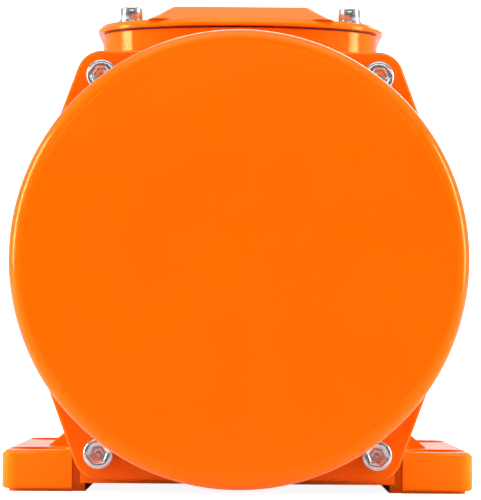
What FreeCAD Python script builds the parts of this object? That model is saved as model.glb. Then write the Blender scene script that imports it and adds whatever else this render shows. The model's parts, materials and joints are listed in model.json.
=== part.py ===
"""Foot-mounted electric vibration motor.

Two eccentric weights turn on each end of a motor shaft, under a round cover at each end of a cast
housing.  Millimetres, +Z up, the shaft along Y, the origin on the plane of the feet under the middle.
Each end piece is drawn for the front (-Y) end, where the distance out from the middle of the motor is
called "out"; the rear one is the same piece turned half round the vertical.
"""
import FreeCAD, Part
import math
import os
from types import SimpleNamespace

import Sketcher

Vector = FreeCAD.Vector
FRONT, REAR = "front", "rear"

# ----------------------------------------------------------------------------- driving sizes
SIZES = {
    # housing casting
    "shaft_height": 98.5,
    "body_half_length": 92.0,
    "barrel_radius": 80.0,
    "barrel_bore": 70.0,
    "end_flange": 14.0,
    "flange_radius": 94.5,
    "lobe_radius": 11.25,
    "cover_screw_x": 59.1,
    "cover_screw_z": 80.65,
    "belly_height": 4.2,
    "belly_setback": 1.4,
    "fin_radius": 90.0,
    "fin_thickness": 3.0,
    "fin_rows": 3,
    "fin_spread": 27.0,
    # feet
    "foot_half_width": 103.0,
    "foot_half_length": 84.0,
    "foot_width": 31.0,
    "foot_height": 18.0,
    "foot_corner": 6.0,
    "foot_edge": 1.7,
    "sole_height": 1.3,
    "sole_step": 3.0,
    "foot_web": 5.4,
    "foot_web_top": 58.0,
    "foot_bolt_inset": 18.0,
    "foot_bolt_setback": 24.0,
    "foot_bolt_hole": 8.5,
    "foot_seat_radius": 16.0,
    "foot_seat_depth": 1.0,
    "rib_y": 25.0,
    "rib_thickness": 9.0,
    "rib_inset": 17.0,
    "rib_top_z": 30.0,
    # terminal box
    "box_middle_y": -17.0,
    "box_half_width": 61.7,
    "box_setback": 25.0,
    "box_bow": 90.75,
    "box_corner": 29.0,
    "box_wall": 5.0,
    "box_floor_rise": 2.5,
    "box_root_rise": 50.5,
    "box_depth": 22.6,
    "gasket_thickness": 0.8,
    "gasket_inset": 1.2,
    "lid_overhang": 2.4,
    "lid_rim": 3.4,
    "lid_crown": 7.2,
    "lid_skin": 4.0,
    "lid_edge": 2.0,
    "crown_half_width": 41.0,
    "crown_setback": 5.0,
    "crown_side_slope": 10.0,
    "crown_end_slope": 14.0,
    "crown_corner": 3.0,
    "crown_edge": 1.5,
    "lid_screw_x": 48.6,
    "lid_screw_setback": 22.0,
    "washer_radius": 5.8,
    "washer_thickness": 0.8,
    "lid_boss": 6.0,
    "lead_way_start": 50.0,
    "lead_way_end": 66.0,
    "lead_way_half_width": 12.0,
    "lid_screw_grip": 14.0,
    "block_height": 11.0,
    "stud_pitch": 24.0,
    "stud_row": 9.0,
    "block_margin": 8.0,
    "barrier": 3.0,
    "barrier_height": 5.0,
    "stud_radius": 2.5,
    "stud_sunk": 6.0,
    "stud_height": 9.5,
    "stud_nut_width": 8.0,
    "stud_nut_height": 4.0,
    "link_thickness": 1.5,
    "earth_x": 46.0,
    "earth_y": 12.0,
    "earth_reach": 8.0,
    # end shields
    "shield_flange": 12.0,
    "spigot_depth": 6.0,
    "spigot_wall": 6.0,
    "hub_radius": 50.0,
    "hub_lip": 5.0,
    "register_wall": 5.0,
    "register_height": 7.0,
    "ring_groove_start": 2.0,
    "ring_groove_width": 3.2,
    "ring_groove_depth": 2.2,
    "shield_screw_radius": 76.5,
    "shield_rib": 6.0,
    "shield_rib_count": 8,
    # weight covers
    "cover_flange": 5.0,
    "cover_depth": 89.0,
    "cover_radius": 91.7,
    "cover_wall": 3.0,
    "cover_edge": 6.0,
    "flange_edge": 0.8,
    # roller bearings
    "bearing_setback": 13.0,
    "bearing_width": 31.0,
    "bearing_bore": 17.5,
    "bearing_radius": 40.0,
    "outer_ring_shoulder": 6.0,
    "roller_pitch_radius": 29.5,
    "roller_radius": 5.0,
    "roller_length": 23.6,
    "roller_count": 13,
    "roller_rib": 2.0,
    "cage_wall": 5.0,
    "cage_end": 2.2,
    "cage_clearance": 0.3,
    "bearing_cover_thickness": 5.0,
    "bearing_cover_screw_radius": 45.0,
    "bearing_cover_relief": 1.5,
    "seal_width": 6.0,
    "seal_inset": 0.5,
    "seal_wall": 1.6,
    # shaft and rotor
    "shaft_reach": 94.0,
    "shaft_shoulder": 20.0,
    "shaft_chamfer": 1.5,
    "rotor_seat_radius": 22.0,
    "rotor_radius": 37.6,
    "rotor_setback": 49.0,
    "end_ring_height": 9.0,
    "end_ring_inner": 27.0,
    # stator
    "air_gap": 0.4,
    "stator_setback": 50.0,
    "slot_count": 24,
    "slot_bottom": 58.0,
    "slot_lip": 2.5,
    "slot_width": 5.6,
    "slot_mouth": 2.2,
    "slot_liner": 0.3,
    "coil_inner": 42.0,
    "coil_outer": 64.0,
    "coil_setback": 28.0,
    "coil_edge": 5.0,
    # eccentric weights
    "weight_gap": 3.0,
    "weight_thickness": 28.0,
    "weight_radius": 80.0,
    "weight_chord": 8.0,
    "weight_hub": 32.0,
    "key_width": 10.0,
    "key_height": 8.0,
    "key_depth": 5.0,
    "key_length": 24.0,
    "clamp_ear_width": 32.0,
    "clamp_ear_top": 46.0,
    "clamp_split": 3.0,
    "clamp_bolt_z": 37.0,
    "dial_thickness": 2.8,
    "dial_radius": 34.0,
    "dial_notch": 2.0,
    "dial_notches": 12,
    "clip_thickness": 2.0,
    "clip_width": 4.5,
    "clip_depth": 1.2,
    # socket head screws: shank radius, head radius, head height, key across flats
    "cover_screw": 4.0,
    "cover_screw_head": 6.5,
    "cover_screw_grip": 13.0,
    "cover_screw_key": 6.0,
    "small_screw": 3.0,
    "small_screw_head": 5.0,
    "small_screw_grip": 11.0,
    "small_screw_key": 5.0,
    "low_head": 5.0,
    "clamp_screw": 5.0,
    "clamp_screw_head": 8.0,
    "clamp_screw_key": 8.0,
    "clamp_nut_width": 16.0,
    "clamp_nut_height": 8.0,
    "clamp_bolt_tail": 2.0,
    "screw_edge": 0.7,
    "bite": 1.0,
    "socket_depth": 1.1,
    # cable gland
    "gland_rise": 14.0,
    "gland_boss": 12.0,
    "gland_boss_height": 3.0,
    "gland_thread": 8.0,
    "gland_hex": 20.0,
    "gland_hex_height": 5.5,
    "gland_nut_length": 12.0,
    "gland_bore": 4.0,
    "gland_seal_wall": 2.6,
    "gland_seal_seat": 9.0,
    # fits
    "running_clearance": 0.03,
    "side_clearance": 0.1,
    "screw_clearance": 0.5,
}


class Size:
    """A length together with the sheet expression that it is worked out by."""

    def __init__(self, value, text):
        self.value = float(value)
        self.text = text

    @staticmethod
    def of(item):
        return item if isinstance(item, Size) else Size(item, f"{item:g}")

    def joined(self, sign, other, value):
        return Size(value, f"({self.text} {sign} {other.text})")

    def __add__(self, other):
        other = Size.of(other)
        return self.joined("+", other, self.value + other.value)

    def __sub__(self, other):
        other = Size.of(other)
        return self.joined("-", other, self.value - other.value)

    def __mul__(self, other):
        other = Size.of(other)
        return self.joined("*", other, self.value * other.value)

    def __truediv__(self, other):
        other = Size.of(other)
        return self.joined("/", other, self.value / other.value)

    def __neg__(self):
        return Size(-self.value, f"(-1 * {self.text})")

    def __rsub__(self, other):
        return Size.of(other) - self

    __radd__ = __add__
    __rmul__ = __mul__


def write_sheet():
    """Fill the sheet with the driving sizes, each under its own alias."""
    sheet = doc.addObject("Spreadsheet::Sheet", "Sizes")
    for row, (name, value) in enumerate(SIZES.items(), 1):
        sheet.set(f"A{row}", name)
        sheet.set(f"B{row}", f"{value:g}")
        sheet.setAlias(f"B{row}", name)
    doc.recompute()
    return SimpleNamespace(**{name: Size(value, f"Sizes.{name}") for name, value in SIZES.items()})


def bind(item, path, size):
    """Set a property to a plain number, or tie it to the sheet."""
    if isinstance(size, Size) and "Sizes." in size.text:
        item.setExpression(path, size.text)
    elif "." not in path:
        setattr(item, path, size.value if isinstance(size, Size) else size)


def new_body(label, end=FRONT, height=0):
    """An empty body; its own origin is at the given height, turned half round for the rear end."""
    body = doc.addObject("PartDesign::Body", label)
    body.Label = label
    body.AllowCompound = True
    body.Placement = FreeCAD.Placement(Vector(), FreeCAD.Rotation(Vector(0, 0, 1), 180 if end == REAR else 0))
    bind(body, ".Placement.Base.z", height)
    return body


def origin_of(body, role):
    """One of the planes or axes of a body's own origin, such as XZ_Plane or Y_Axis."""
    return next(item for item in body.Origin.OriginFeatures if item.Role == role)


# ----------------------------------------------------------------------------- sketching
class Drawing:
    """A sketch on an origin plane of a body, moved off it along its normal."""

    def __init__(self, body, plane, offset=0):
        self.body = body
        self.sketch = body.newObject("Sketcher::SketchObject", "Sketch")
        self.sketch.AttachmentSupport = [(origin_of(body, plane), "")]
        self.sketch.MapMode = "FlatFace"
        bind(self.sketch, ".AttachmentOffset.Base.z", offset)

    def constrain(self, rules):
        """Add (constraint, size) pairs; a size that comes from the sheet stays tied to it."""
        numbers = self.sketch.addConstraint([rule for rule, size in rules])
        for number, (rule, size) in zip(numbers, rules):
            if size is not None and "Sizes." in size.text:
                self.sketch.setExpression(f"Constraints[{number}]", size.text)

    @staticmethod
    def at(item, point, x, y):
        """Rules that hold one point of an item at a place."""
        x, y = Size.of(x), Size.of(y)
        return [(Sketcher.Constraint("DistanceX", -1, 1, item, point, x.value), x),
                (Sketcher.Constraint("DistanceY", -1, 1, item, point, y.value), y)]

    @staticmethod
    def round(item, radius):
        radius = Size.of(radius)
        return [(Sketcher.Constraint("Radius", item, radius.value), radius)]

    def polygon(self, points):
        """A closed outline of straight lines."""
        points = [(Size.of(x), Size.of(y)) for x, y in points]
        places = [Vector(x.value, y.value, 0) for x, y in points]
        following = places[1:] + places[:1]
        lines = [Part.LineSegment(start, end) for start, end in zip(places, following)]
        items = self.sketch.addGeometry(lines, False)
        rules = []
        for item, after, (x, y) in zip(items, items[1:] + items[:1], points):
            rules.append((Sketcher.Constraint("Coincident", item, 2, after, 1), None))
            rules += self.at(item, 1, x, y)
        self.constrain(rules)
        return self

    def box(self, left, low, right, high):
        return self.polygon([(left, low), (right, low), (right, high), (left, high)])

    def pair(self, points):
        """An outline and its mirror image on the other side of the sketch's vertical axis."""
        self.polygon(points)
        return self.polygon([(-Size.of(x), y) for x, y in reversed(points)])

    def box_pair(self, left, low, right, high):
        return self.pair([(left, low), (right, low), (right, high), (left, high)])

    def circles(self, x, y, radius, middle_y=0):
        """Four equal circles, mirrored both ways about the middle."""
        for across in (Size.of(x), -Size.of(x)):
            for up in (middle_y + Size.of(y), middle_y - Size.of(y)):
                self.circle(across, up, radius)
        return self

    def circle(self, x, y, radius):
        x, y, radius = Size.of(x), Size.of(y), Size.of(radius)
        ring = Part.Circle(Vector(x.value, y.value, 0), Vector(0, 0, 1), radius.value)
        item = self.sketch.addGeometry(ring, False)
        self.constrain(self.at(item, 3, x, y) + self.round(item, radius))
        return self

    def rounded_box(self, half_x, half_y, corner):
        """A box about the sketch's origin with round corners."""
        x, y = half_x - corner, half_y - corner
        places = [(x, y), (-x, y), (-x, -y), (x, -y)]
        quarter = math.pi / 2
        turns = [arc(across.value, up.value, corner.value, number * quarter, (number + 1) * quarter)
                 for number, (across, up) in enumerate(places)]

        def rules(items):
            return [rule for item, place in zip(items[::2], places)
                    for rule in self.at(item, 3, *place) + self.round(item, corner)]
        return self.chain(with_lines(turns), rules)

    def hexagon(self, x, y, across):
        """A regular hexagon with two flats level, given across its flats."""
        flat = Size.of(across) / 2
        corner = flat * round(2 / math.sqrt(3), 6)
        half = corner / 2
        return self.polygon([(x + corner, y), (x + half, y + flat), (x - half, y + flat),
                             (x - corner, y), (x - half, y - flat), (x + half, y - flat)])

    def chain(self, pieces, rules):
        """A closed chain of arcs and lines, each one tangent to the next."""
        items = self.sketch.addGeometry(pieces, False)
        joints = [(Sketcher.Constraint("Tangent", item, 2, after, 1), None)
                  for item, after in zip(items, items[1:] + items[:1])]
        self.constrain(joints + rules(items))
        return self

    def lobed(self, radius, lobe, lobe_x, lobe_y):
        """A disc with four lobes round the screws, flat above and below, tangent lines at the sides."""
        distance = math.hypot(lobe_x.value, lobe_y.value)
        lean = math.atan2(lobe_y.value, lobe_x.value) - math.acos((radius.value - lobe.value) / distance)
        corners = [(lobe_x, lobe_y, lean, math.pi / 2), (-lobe_x, lobe_y, math.pi / 2, math.pi - lean),
                   (-lobe_x, -lobe_y, math.pi + lean, 1.5 * math.pi),
                   (lobe_x, -lobe_y, 1.5 * math.pi, 2 * math.pi - lean)]
        right = arc(0, 0, radius.value, -lean, lean)
        left = arc(0, 0, radius.value, math.pi - lean, math.pi + lean)
        lobes = [arc(x.value, y.value, lobe.value, start, end) for x, y, start, end in corners]
        turns = [right, lobes[0], lobes[1], left, lobes[2], lobes[3]]
        sizes = [(0, 0, radius), (*corners[0][:2], lobe), (*corners[1][:2], lobe),
                 (0, 0, radius), (*corners[2][:2], lobe), (*corners[3][:2], lobe)]

        def rules(items):
            return [rule for item, (x, y, size) in zip(items[::2], sizes)
                    for rule in self.at(item, 3, x, y) + self.round(item, size)]
        return self.chain(with_lines(turns), rules)

    def bowed(self, middle_y, half_width, half_length, bow, corner):
        """A rounded box outline whose two ends are bowed outwards."""
        bow_y = bow - half_length
        rise = math.sqrt((bow.value - corner.value) ** 2 - (half_width.value - corner.value) ** 2)
        corner_y = rise - bow_y.value
        corner_x = half_width.value - corner.value
        lean = math.atan2(rise, corner_x)
        centre = middle_y.value
        top, low = centre + corner_y, centre - corner_y
        front = arc(0, centre + bow_y.value, bow.value, -math.pi + lean, -lean)
        back = arc(0, centre - bow_y.value, bow.value, lean, math.pi - lean)
        pieces = [front, arc(corner_x, low, corner.value, -lean, 0),
                  line(half_width.value, low, half_width.value, top),
                  arc(corner_x, top, corner.value, 0, lean), back,
                  arc(-corner_x, top, corner.value, math.pi - lean, math.pi),
                  line(-half_width.value, top, -half_width.value, low),
                  arc(-corner_x, low, corner.value, math.pi, math.pi + lean)]

        def rules(items):
            held = self.at(items[0], 3, 0, middle_y + bow_y) + self.at(items[4], 3, 0, middle_y - bow_y)
            for item in (items[0], items[4]):
                held += self.round(item, bow)
            for item in (items[1], items[3], items[5], items[7]):
                held += self.round(item, corner)
            for item, side in ((items[2], half_width), (items[6], -half_width)):
                held.append((Sketcher.Constraint("Vertical", item), None))
                held.append((Sketcher.Constraint("DistanceX", -1, 1, item, 1, side.value), side))
            return held
        return self.chain(pieces, rules)

    def segment(self, radius, chord):
        """The part of a disc below a level line at the height "chord"."""
        reach = math.asin(chord.value / radius.value)
        turn = arc(0, 0, radius.value, math.pi - reach, 2 * math.pi + reach)
        ends = turn.StartPoint, turn.EndPoint
        items = self.sketch.addGeometry([turn, Part.LineSegment(ends[1], ends[0])], False)
        rules = self.at(items[0], 3, 0, 0) + self.round(items[0], radius)
        rules += [(Sketcher.Constraint("Coincident", items[0], 2, items[1], 1), None),
                  (Sketcher.Constraint("Coincident", items[1], 2, items[0], 1), None),
                  (Sketcher.Constraint("Horizontal", items[1]), None),
                  (Sketcher.Constraint("DistanceY", -1, 1, items[1], 1, chord.value), chord)]
        self.constrain(rules)
        return self


def arc(x, y, radius, start, end):
    return Part.ArcOfCircle(Part.Circle(Vector(x, y, 0), Vector(0, 0, 1), radius), start, end)


def line(x, y, to_x, to_y):
    return Part.LineSegment(Vector(x, y, 0), Vector(to_x, to_y, 0))


def with_lines(turns):
    """The arcs of a closed outline with the straight lines between them."""
    pieces = []
    for turn, after in zip(turns, turns[1:] + turns[:1]):
        pieces += [turn, Part.LineSegment(turn.EndPoint, after.StartPoint)]
    return pieces


# ----------------------------------------------------------------------------- features
def feature(drawing, kind, **properties):
    """A sketched feature; Size values are tied to the sheet."""
    item = drawing.body.newObject(f"PartDesign::{kind}", kind)
    item.Profile = drawing.sketch
    for name, value in properties.items():
        if isinstance(value, Size):
            bind(item, name, value)
        else:
            setattr(item, name, value)
    drawing.sketch.Visibility = False
    doc.recompute()
    return item


def pad(drawing, length, **properties):
    return feature(drawing, "Pad", Length=length, **properties)


def pad_both(drawing, length):
    """A pad of this whole length, half on each side of the sketch."""
    return pad(drawing, length, SideType="Symmetric")


def pocket(drawing, length, **properties):
    return feature(drawing, "Pocket", Length=length, **properties)


def drill(drawing):
    """A cut right through, both ways."""
    return feature(drawing, "Pocket", Type="ThroughAll", SideType="Symmetric")


def turned(body, points):
    """A piece turned about the shaft axis, from points (out, radius)."""
    drawing = Drawing(body, "YZ_Plane").polygon([(-Size.of(out), radius) for out, radius in points])
    return feature(drawing, "Revolution", ReferenceAxis=(drawing.sketch, ["H_Axis"]), Angle=360)


def mirrored(body, *planes, originals=None):
    """Repeat the whole body, or some of its features, across its origin planes."""
    for plane in planes:
        item = body.newObject("PartDesign::Mirrored", "Mirrored")
        if originals:
            item.Originals = originals
        else:
            item.TransformMode = "Whole shape"
        item.MirrorPlane = (origin_of(body, plane), [""])
        body.Tip = item
        doc.recompute()


def around(body, originals, count, angle=360):
    """Repeat features round the shaft axis; none named means the whole body."""
    item = body.newObject("PartDesign::PolarPattern", "PolarPattern")
    if originals:
        item.Originals = originals
    else:
        item.TransformMode = "Whole shape"
    item.Axis = (origin_of(body, "Y_Axis"), [""])
    bind(item, "Angle", angle)
    bind(item, "Occurrences", count)
    body.Tip = item
    doc.recompute()
    return item


def edge_names(item, wanted):
    """The edges of a feature whose middle point passes a test."""
    names = []
    for number, edge in enumerate(item.Shape.Edges, 1):
        middle = edge.valueAt((edge.FirstParameter + edge.LastParameter) / 2)
        if wanted(middle, edge):
            names.append(f"Edge{number}")
    return names


def soften(body, kind, size, wanted):
    """Fillet or chamfer the edges of the body so far that pass a test."""
    base = body.Tip
    item = body.newObject(f"PartDesign::{kind}", kind)
    item.Base = (base, edge_names(base, wanted))
    bind(item, "Radius" if kind == "Fillet" else "Size", size)
    doc.recompute()
    return item


def is_upright(edge):
    """A straight edge that runs up and down."""
    start, end = edge.Vertexes[0].Point, edge.Vertexes[-1].Point
    return abs(start.x - end.x) < 0.01 and abs(start.y - end.y) < 0.01 and abs(start.z - end.z) > 0.5


def near(value, target, reach=0.01):
    return abs(value - (target.value if isinstance(target, Size) else target)) < reach


# ----------------------------------------------------------------------------- the document
doc = FreeCAD.newDocument("VibrationMotor")
s = write_sheet()

# Stations along the shaft, out from the middle of the motor
flange_start = s.body_half_length - s.end_flange
shaft_half_length = s.body_half_length + s.shaft_reach
shield_face = s.body_half_length + s.shield_flange
cover_seat = shield_face + s.cover_flange
cover_face = cover_seat + s.cover_depth
bearing_out = s.body_half_length - s.bearing_setback
rotor_half_length = s.body_half_length - s.rotor_setback
stator_half_length = s.body_half_length - s.stator_setback
coil_out = s.body_half_length - s.coil_setback
bearing_end = bearing_out + s.bearing_width
hub_end = bearing_end + s.hub_lip
weight_start = hub_end + s.weight_gap
weight_end = weight_start + s.weight_thickness
loose_start = weight_end + s.side_clearance
loose_end = loose_start + s.weight_thickness
dial_start = loose_end + s.side_clearance
dial_end = dial_start + s.dial_thickness
bearing_cover_start = bearing_out - s.bearing_cover_thickness

# Radii about the shaft
outer_race = s.roller_pitch_radius + s.roller_radius
inner_race = s.roller_pitch_radius - s.roller_radius
cover_bore = s.cover_radius - s.cover_wall
seal_bore = inner_race + s.seal_width

# Heights
ground = -s.shaft_height
box_floor_z = s.shaft_height + s.barrel_radius + s.box_floor_rise
box_top_z = box_floor_z + s.box_depth
box_root_z = s.shaft_height + s.box_root_rise
gland_z = box_floor_z + s.gland_rise
lid_low = box_top_z + s.gasket_thickness
lid_seat = lid_low + s.lid_rim
block_top = box_floor_z + s.block_height

# Feet and terminal box, seen from above
foot_inner = s.foot_half_width - s.foot_width
web_inner = foot_inner - s.foot_web
foot_bolt_x = s.foot_half_width - s.foot_bolt_inset
foot_bolt_y = s.foot_half_length - s.foot_bolt_setback
box_half_length = s.body_half_length - s.box_setback
crown_half_length = box_half_length - s.crown_setback
lid_screw_y = box_half_length - s.lid_screw_setback


def flange_outline(drawing):
    """The outline that the housing, the end shields and the weight covers share."""
    return drawing.lobed(s.flange_radius, s.lobe_radius, s.cover_screw_x, s.cover_screw_z)


def box_outline(drawing, inset, middle_y=0):
    """The terminal box outline, moved inwards by "inset" all round."""
    return drawing.bowed(Size.of(middle_y), s.box_half_width - inset, box_half_length - inset,
                         s.box_bow - inset, s.box_corner - inset)


# ----------------------------------------------------------------------------- housing
def make_housing():
    """The casting: barrel, end flanges, fins and the terminal tub."""
    body = new_body("motor_housing", height=s.shaft_height)
    pad_both(Drawing(body, "XZ_Plane").circle(0, 0, s.barrel_radius), s.body_half_length * 2)
    add_end_flanges(body)
    add_fins(body)
    tub = box_outline(Drawing(body, "XY_Plane", ground + box_root_z), 0, s.box_middle_y)
    pad(tub, box_top_z - box_root_z)
    drill(Drawing(body, "XZ_Plane").circle(0, 0, s.barrel_bore))
    cut_terminal_box(body)
    cut_screw_holes(body)
    return body


def add_end_flanges(body):
    """A lobed flange at each end, filled down to a level belly between the feet."""
    flange = pad(flange_outline(Drawing(body, "XZ_Plane", flange_start)), s.end_flange)
    cheek = Drawing(body, "XZ_Plane", flange_start)
    belly_half_width = web_inner + s.belly_setback
    cheek.box(-belly_half_width, ground + s.belly_height, belly_half_width, ground + s.foot_web_top)
    mirrored(body, "XZ_Plane", originals=[flange, pad(cheek, s.end_flange)])


def make_foot_rails():
    """Two foot rails on soles, with the long web and the sloping ribs that carry the barrel."""
    body = new_body("foot_rails", height=s.shaft_height)
    web = Drawing(body, "XZ_Plane")
    web.box_pair(web_inner, ground, foot_inner, ground + s.foot_web_top)
    pad_both(web, flange_start * 2)
    layers = [(0, s.sole_height, s.foot_half_width - s.sole_step, s.foot_half_length - s.sole_step,
               s.foot_corner - s.sole_step),
              (s.sole_height, s.foot_height, s.foot_half_width, s.foot_half_length, s.foot_corner)]
    for low, high, half_width, half_length, corner in layers:
        layer = Drawing(body, "XZ_Plane").box_pair(foot_inner, ground + low, half_width, ground + high)
        pad_both(layer, half_length * 2)
        soften(body, "Fillet", corner, lambda middle, edge: is_upright(edge)
               and near(abs(middle.x), half_width) and near(abs(middle.y), half_length))
    for level, size in ((s.foot_height, s.foot_edge), (s.sole_height, s.foot_edge / 2)):
        soften(body, "Chamfer", size, lambda middle, edge: near(middle.z, ground + level)
               and abs(middle.x) > foot_inner.value + s.bite.value and any(
                   near(abs(end.X), s.foot_half_width) or near(abs(end.Y), s.foot_half_length)
                   for end in edge.Vertexes))
    rib = Drawing(body, "XZ_Plane", s.rib_y - s.rib_thickness / 2)
    rib.pair([(foot_inner, ground + s.foot_height), (s.foot_half_width - s.rib_inset, ground + s.foot_height),
              (foot_inner, ground + s.rib_top_z), (web_inner, ground + s.foot_web_top)])
    mirrored(body, "XZ_Plane", originals=[pad(rib, s.rib_thickness)])
    drill(Drawing(body, "XZ_Plane").circle(0, 0, s.barrel_radius))
    seat = Drawing(body, "XY_Plane", ground + s.foot_height)
    pocket(seat.circles(foot_bolt_x, foot_bolt_y, s.foot_seat_radius), s.foot_seat_depth)
    hole = Drawing(body, "XY_Plane", ground + s.foot_height)
    pocket(hole.circles(foot_bolt_x, foot_bolt_y, s.foot_bolt_hole), s.foot_height)


def add_fins(body):
    """Cooling fins along both flanks of the barrel, spread evenly about the level of the shaft."""
    fin = Drawing(body, "XZ_Plane")
    fin.box_pair(s.barrel_radius - s.fin_thickness, -s.fin_thickness / 2, s.fin_radius, s.fin_thickness / 2)
    middle = pad_both(fin, flange_start * 2)
    up = around(body, [middle], s.fin_rows, s.fin_spread)
    down = around(body, [middle], s.fin_rows, s.fin_spread)
    down.Reversed = True
    doc.recompute()


def cut_terminal_box(body):
    """The tub's cavity with its screw bosses, the way in for the leads and the seat of the gland."""
    top = ground + box_top_z
    depth = box_top_z - box_floor_z
    wall = Drawing(body, "XZ_Plane", -(s.box_middle_y + box_half_length + s.gland_boss_height))
    wall.box(-s.gland_boss, s.barrel_radius - s.bite, s.gland_boss, top)
    pad(wall, s.gland_boss_height + s.box_wall)
    pocket(box_outline(Drawing(body, "XY_Plane", top), s.box_wall, s.box_middle_y), depth)
    bosses = Drawing(body, "XY_Plane", ground + box_floor_z)
    pad(bosses.circles(s.lid_screw_x, lid_screw_y, s.lid_boss, s.box_middle_y), depth)
    holes = Drawing(body, "XY_Plane", top)
    pocket(holes.circles(s.lid_screw_x, lid_screw_y, s.small_screw, s.box_middle_y), s.lid_screw_grip)
    earth = Drawing(body, "XY_Plane", ground + box_floor_z)
    pocket(earth.circle(-s.earth_x, s.box_middle_y + s.earth_y, s.stud_radius), s.earth_reach)
    way = Drawing(body, "XY_Plane", ground + box_floor_z)
    way.box(-s.lead_way_half_width, -s.lead_way_end, s.lead_way_half_width, -s.lead_way_start)
    pocket(way, box_floor_z - s.shaft_height)
    entry = Drawing(body, "XZ_Plane", -(s.box_middle_y + box_half_length + s.gland_boss_height))
    entry.circle(0, ground + gland_z, s.gland_thread)
    pocket(entry, s.gland_boss_height + s.box_wall * 2, Reversed=True)


def cut_screw_holes(body):
    """Tapped holes in both end faces."""
    face = Drawing(body, "XZ_Plane", s.body_half_length)
    lobes = pocket(face.circles(s.cover_screw_x, s.cover_screw_z, s.cover_screw), s.end_flange)
    face = Drawing(body, "XZ_Plane", s.body_half_length)
    for x, z in ((s.shield_screw_radius, 0), (-s.shield_screw_radius, 0),
                 (0, s.shield_screw_radius), (0, -s.shield_screw_radius)):
        face.circle(x, z, s.small_screw)
    mirrored(body, "XZ_Plane", originals=[lobes, pocket(face, s.end_flange - s.bite * 2)])


# ----------------------------------------------------------------------------- screws
def socket_screws(label, plane, seat, x, y, shank, head, grip, key, end=FRONT, height=0, middle_y=0):
    """Socket head cap screw at (x, y) of a plane, its head standing on "seat"; repeats follow later."""
    body = new_body(label, end, height)
    bind(body, ".Placement.Base.y", middle_y)
    pad(Drawing(body, plane, seat).circle(x, y, shank), grip, Reversed=True)
    pad(Drawing(body, plane, seat).circle(x, y, head), shank * 2)
    rim = (seat + shank * 2).value
    across = 2 if plane == "XY_Plane" else 1
    soften(body, "Chamfer", s.screw_edge, lambda middle, edge: near(abs(middle[across]), rim))
    socket = Drawing(body, plane, seat + shank * 2).hexagon(Size.of(x), Size.of(y), key)
    pocket(socket, shank * s.socket_depth)
    return body


def make_end_screws(end):
    """Cover screws through the lobes, and the screws that hold the bearing shield and its inner cover."""
    cover = socket_screws(f"{end}_cover_screws", "XZ_Plane", cover_seat, s.cover_screw_x, s.cover_screw_z,
                          s.cover_screw, s.cover_screw_head, s.cover_screw_grip + s.cover_flange + s.shield_flange,
                          s.cover_screw_key, end, s.shaft_height)
    mirrored(cover, "YZ_Plane", "XY_Plane")
    shield = socket_screws(f"{end}_shield_screws", "XZ_Plane", shield_face, 0, s.shield_screw_radius,
                           s.small_screw, s.small_screw_head, s.small_screw_grip + s.shield_flange,
                           s.small_screw_key, end, s.shaft_height)
    around(shield, None, 4)


def make_bearing_cover(end):
    """Ring that clamps the bearing's outer ring from inside, with its four screws."""
    body = new_body(f"{end}_bearing_cover", end, s.shaft_height)
    relief = bearing_out - s.bearing_cover_relief
    bore = s.shaft_shoulder + s.screw_clearance
    seat = s.bearing_radius - s.outer_ring_shoulder
    turned(body, [(bearing_cover_start, bore), (bearing_cover_start, s.hub_radius), (bearing_out, s.hub_radius),
                  (bearing_out, seat), (relief, seat), (relief, bore)])
    hole = Drawing(body, "XZ_Plane", bearing_out)
    hole.circle(0, s.bearing_cover_screw_radius, s.small_screw + s.screw_clearance)
    around(body, [pocket(hole, s.bearing_cover_thickness)], 4)

    screws = new_body(f"{end}_bearing_cover_screws", end, s.shaft_height)
    shank = Drawing(screws, "XZ_Plane", bearing_cover_start)
    pad(shank.circle(0, s.bearing_cover_screw_radius, s.small_screw),
        s.bearing_cover_thickness + s.small_screw_grip)
    head = Drawing(screws, "XZ_Plane", bearing_cover_start)
    pad(head.circle(0, s.bearing_cover_screw_radius, s.small_screw_head), s.low_head, Reversed=True)
    socket = Drawing(screws, "XZ_Plane", bearing_cover_start - s.low_head)
    socket.hexagon(Size.of(0), s.bearing_cover_screw_radius, s.small_screw_key)
    pocket(socket, s.low_head / 2, Reversed=True)
    around(screws, None, 4)


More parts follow.
